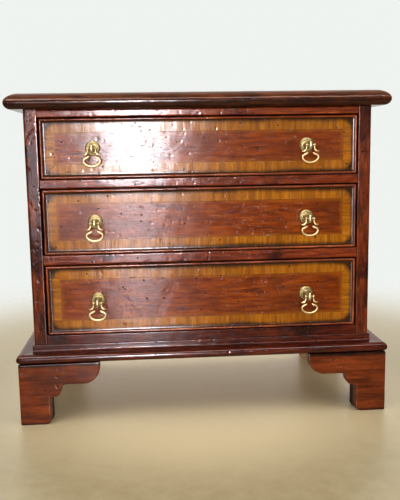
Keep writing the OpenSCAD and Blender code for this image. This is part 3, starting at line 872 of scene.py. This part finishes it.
def bail_parts(pivot):
    """Arms with leaf-shaped horns, balls and pins at the pivot, and an open ring."""
    def placed(values, sign=1):
        return [(pivot.x + sign * v[0] * MM, pivot.y, pivot.z + v[1] * MM) for v in values]

    parts = []
    arm = smooth_path(ARM)
    for sign in (-1, 1):
        parts.append(tube(placed(arm, sign), arm[:, 2] * MM))
        parts.append(ovoid(placed([(ARM_X, 0)], sign)[0], [BALL_R * MM] * 3))
        pin = placed([(PIN_X, 0), (2.4, 0), (ARM_X, 0)], sign)
        parts.append(tube(pin, [PIN_R * MM] * len(pin)))
        parts.append(ovoid(placed(RING_END[:1], sign)[0], [TIP_R * MM] * 3))
    half = [(RING_X * math.cos(a), RING_WIDE_Z + (RING_UP if a > 0 else RING_DOWN) * math.sin(a),
             0.84 - 0.04 * max(0.0, -math.sin(a)))
            for a in np.radians(np.linspace(58, -90, 26))]
    half = list(RING_END) + half
    ring = smooth_path(half + [(-x, z, r) for x, z, r in half[-2::-1]], 3)
    parts.append(tube(placed(ring), ring[:, 2] * MM))
    return parts


def post_parts(axis, pivot_y, back_y):
    """Shank, a turned neck with its collar, and an upright egg-shaped head."""
    reach = (FACE_Y - pivot_y) / MM
    # Radius, and distance out from the front, in millimetres
    neck = [(1.2, (FACE_Y - back_y) / MM), (1.2, 1.5), (2.3, 1.9), (2.3, 2.6), (1.9, 3.1),
            (1.55, 4.2), (1.45, 6.5), (1.6, reach - 3.2), (1.9, reach - 2.3),
            (1.5, reach - 1.4), (1.3, reach)]
    turned = lathe([(r * MM, d * MM) for r, d in neck], axis, 28)
    head = (axis.x, pivot_y, axis.z - 0.3 * MM)
    return [solid(*turned), ovoid(head, (1.75 * MM, 1.9 * MM, 3.5 * MM), 28)]


def make_handles(front, metals):
    """Two backplates, two posts and two bails, and the nuts behind the front."""
    name = front.body
    plate_low, plate_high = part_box(name + "_backplates")
    radius = (plate_high.z - plate_low.z) / 2
    height = plate_high.y - plate_low.y
    post_low, post_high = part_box(name + "_posts")
    pivot_y = post_low.y + POST_R
    axes = [Vector((sign * (plate_high.x - radius), FACE_Y, front.mid)) for sign in (-1, 1)]

    profile = plate_profile(radius, height)
    plates = join([lathe(profile, axis, 64) for axis in axes])
    plate = new_piece(name + "_plates", *plates, front.body, 50)
    plate.data.materials.append(metals["plate"])
    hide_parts(name + "_backplates")

    turned = [part for axis in axes for part in post_parts(axis, pivot_y, post_high.y)]
    post = finish_piece(name + "_pillars", cast(turned, 0.15, 1), front.body)
    post.data.materials.append(metals["post"])
    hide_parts(name + "_posts")

    for side, axis in zip(SIDES, axes):
        node = name + "_" + side + "_bail"
        pivot = Vector((axis.x, pivot_y, axis.z))
        bail = finish_piece(name + "_" + side + "_ring", cast(bail_parts(pivot), 0.13, 2),
                            BODY_OF[node])
        bail.data.materials.append(metals["bail"])
        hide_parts(node)
    dress(nodes[name + "_nuts"], metals["plate"], 0.2)


# ------------------------------------------------------------ other pieces

def dress(node, material, bevel):
    """Gives a CAD node its material and softens its edges with modifiers."""
    node.data.materials.clear()
    node.data.materials.append(material)
    weld = node.modifiers.new("weld", "WELD")
    weld.merge_threshold = 0.005 * MM
    soften = node.modifiers.new("soften", "BEVEL")
    soften.width, soften.segments = bevel * MM, 2
    soften.limit_method, soften.angle_limit = "ANGLE", math.radians(40)
    node.modifiers.new("normals", "WEIGHTED_NORMAL")


def dress_plain_parts():
    """The hidden parts keep their CAD shapes, in unpolished woods."""
    pine = {axis: raw_wood("pine_" + axis, axis, PINE, 0.4 + 0.3 * k)
            for k, axis in enumerate("xy")}
    lining = {axis: raw_wood("lining_" + axis, axis, LINING, 0.9 + 0.3 * k)
              for k, axis in enumerate("xy")}
    for name, axis, bevel in (("back_panel", "x", 0.4), ("bottom_board", "x", 0.3),
                              ("drawer_runners", "y", 0.4), ("kickers", "y", 0.4),
                              ("drawer_stops", "x", 0.4), ("rear_foot_backs", "x", 0.6)):
        dress(nodes[name], pine[axis], bevel)
    # The glue blocks are darkened as painted shade, for the shade behind the brackets.
    dress(nodes["foot_blocks"], raw_wood("block_painted_shade", "z", BLOCK_SHADE, 0.2), 0.6)
    for drawer in DRAWERS:
        name = drawer + "_drawer_"
        for part, axis in (("left_side", "y"), ("right_side", "y"), ("back", "x"),
                           ("bottom", "x")):
            dress(nodes[name + part], lining[axis], 0.35)


# ------------------------------------------------------------------- stage

def make_floor():
    """A pale floor, warmer close to the chest and with painted light right under it, that fades out
    far from it.
    """
    half = 0.65
    look = Look("floor_stone", Specular_IOR_Level=0.6)
    away = look.add("VectorMath", {0: look.place}, operation="LENGTH").outputs["Value"]
    mottle = look.noise(70, 6, None, 0.75)
    warm = look.ramp(mottle, ((0.3, rgb(146, 134, 104)), (0.7, rgb(161, 150, 120))))
    # Painted light: the floor is made lighter right under the chest, against the chest's shadow.
    warm = look.mix(look.spread(away, 0.22, 0.1), warm, rgb(210, 195, 160))
    colour = look.mix(look.spread(away, 0.3, 0.6), warm, rgb(206, 206, 200))
    look.feed(look.shader.inputs["Base Color"], colour)
    look.feed(look.shader.inputs["Roughness"], look.spread(mottle, 0.3, 0.7, 0.33, 0.42))
    look.feed(look.shader.inputs["Alpha"], look.spread(away, 0.62, 0.24))
    mesh = bpy.data.meshes.new("floor")
    mesh.from_pydata([(-half, -half, 0), (half, -half, 0), (half, half, 0), (-half, half, 0)],
                     [], [(0, 1, 2, 3)])
    mesh.materials.append(look.material)
    floor = bpy.data.objects.new("floor", mesh)
    bpy.context.scene.collection.objects.link(floor)


def add_light(name, place, size, radiance, tint=(1, 1, 1), glossy=True, diffuse=True):
    """A soft rectangular light turned to the chest. radiance is its brightness as seen."""
    data = bpy.data.lights.new(name, "AREA")
    data.shape = "RECTANGLE"
    data.size, data.size_y = size
    data.energy = radiance * math.pi * size[0] * size[1]
    data.color = tint
    lamp = bpy.data.objects.new(name, data)
    lamp.location = place
    aim = Vector((0.0, 0.0, 0.13)) - Vector(place)
    lamp.rotation_euler = aim.to_track_quat("-Z", "Y").to_euler()
    lamp.visible_glossy, lamp.visible_diffuse = glossy, diffuse
    bpy.context.scene.collection.objects.link(lamp)


def make_lights():
    """A tall window that shows in the lacquer, and soft light from above.

    The window's softer parts only show in the gloss, as does the ceiling.
    """
    add_light("window", (-0.075, -1.57, 0.32), (0.15, 0.40), 54, (1, 0.97, 1.03))
    add_light("window_low", (-0.083, -1.60, 0.06), (0.15, 0.80), 13, (1, 0.94, 1.03), diffuse=False)
    add_light("window_side", (-0.09, -1.64, 0.20), (0.38, 0.70), 3, (1, 0.94, 1.03), diffuse=False)
    add_light("window_high", (-0.09, -1.58, 0.40), (0.28, 0.24), 20, (1, 0.96, 1.03), diffuse=False)
    add_light("window_left", (-0.38, -1.60, 0.15), (0.11, 0.36), 7, (0.97, 0.96, 1.1), diffuse=False)
    add_light("key", (-0.6, -0.7, 1.5), (0.9, 0.9), 2.5, (1, 0.98, 0.95))
    add_light("fill", (1.0, -0.6, 1.2), (0.8, 0.8), 1.8, (1, 0.95, 0.88))
    add_light("ceiling", (0.0, -0.9, 1.3), (1.3, 0.25), 11, diffuse=False)
    add_light("overhead", (0.0, 0.3, 1.6), (1.6, 1.2), 1.2, glossy=False)


def make_world():
    """What the lacquer and the brass mirror: a dim room in front, a lighter one behind."""
    world = bpy.data.worlds.new("room")
    bpy.context.scene.world = world
    world.use_nodes = True
    tree = world.node_tree

    def add(kind, **inputs):
        node = tree.nodes.new("ShaderNode" + kind)
        for key, value in inputs.items():
            node.inputs[key.replace("_", " ")].default_value = value
        return node

    way = add("TexCoord").outputs["Generated"]
    split = add("SeparateXYZ")
    tree.links.new(way, split.inputs[0])
    ramp = add("MapRange", From_Min=-0.2, From_Max=0.9, To_Min=0.12, To_Max=1.1)
    tree.links.new(split.outputs["Y"], ramp.inputs["Value"])
    mirrored = add("Background", Color=(1.0, 0.96, 0.9, 1))
    tree.links.new(ramp.outputs["Result"], mirrored.inputs["Strength"])
    soft = add("Background", Color=(1.0, 0.97, 0.92, 1), Strength=0.78)
    pale = add("Background", Color=rgb(222, 225, 222))
    rays = add("LightPath").outputs
    shader = mirrored
    for ray, other in (("Is Diffuse Ray", soft), ("Is Camera Ray", pale)):
        mix = add("MixShader")
        tree.links.new(rays[ray], mix.inputs[0])
        tree.links.new(shader.outputs[0], mix.inputs[1])
        tree.links.new(other.outputs[0], mix.inputs[2])
        shader = mix
    tree.links.new(shader.outputs[0], tree.nodes["World Output"].inputs["Surface"])


LENS = 50.4                              # millimetres, on a sensor 36 wide
CAMERA_PLACE = (-0.0428, -0.6229, 0.2181)
CAMERA_TURN = (81.662, 0.947, -4.339)    # degrees


def make_camera():
    """The camera that was fitted to the front's edges, and the view's contrast."""
    data = bpy.data.cameras.new("camera")
    data.lens = LENS
    data.sensor_width = 36
    data.clip_start = 0.01
    camera = bpy.data.objects.new("camera", data)
    camera.location = CAMERA_PLACE
    camera.rotation_euler = [math.radians(a) for a in CAMERA_TURN]
    bpy.context.scene.collection.objects.link(camera)
    bpy.context.scene.camera = camera
    view = bpy.context.scene.view_settings
    view.view_transform, view.look = "Standard", "Medium High Contrast"


# ---------------------------------------------------------------- assembly

make_camera()
make_lights()
make_world()
make_floor()
make_top()
for seed, side in enumerate(SIDES, 20):
    make_side(side, seed)
# The top rail takes the lighter palette: painted light against the shade under the top.
RAILS = (("rail_top", "top_rail", RAIL_PAINTED_LIGHT), ("divider_upper", "upper_divider", RAIL),
         ("divider_lower", "lower_divider", RAIL), ("rail_bottom", "bottom_rail", DEEP))
for seed, (name, node, stops) in enumerate(RAILS, 30):
    finish = wood("mahogany_" + name, "x", stops, 0.11 * seed, 0.01, blotch=0.3, dirt_and_shade=front_grime)
    make_rail(name, node, finish, seed)
make_base()
make_feet()
metals = {"bail": brass("bail_brass", rgb(204, 182, 136), rgb(142, 120, 78), 0.0, 0.38),
          "post": brass("post_brass", rgb(192, 180, 142), rgb(134, 122, 84), 0.0, 0.36),
          "plate": brass("plate_brass", rgb(164, 150, 108), rgb(122, 109, 70), 0.06, 0.42)}
for seed, drawer in enumerate(DRAWERS, 1):
    front = Front(drawer)
    make_core(front, seed)
    make_field(front, seed)
    make_band(front, seed)
    make_beads(front, seed)
    make_handles(front, metals)
dress_plain_parts()
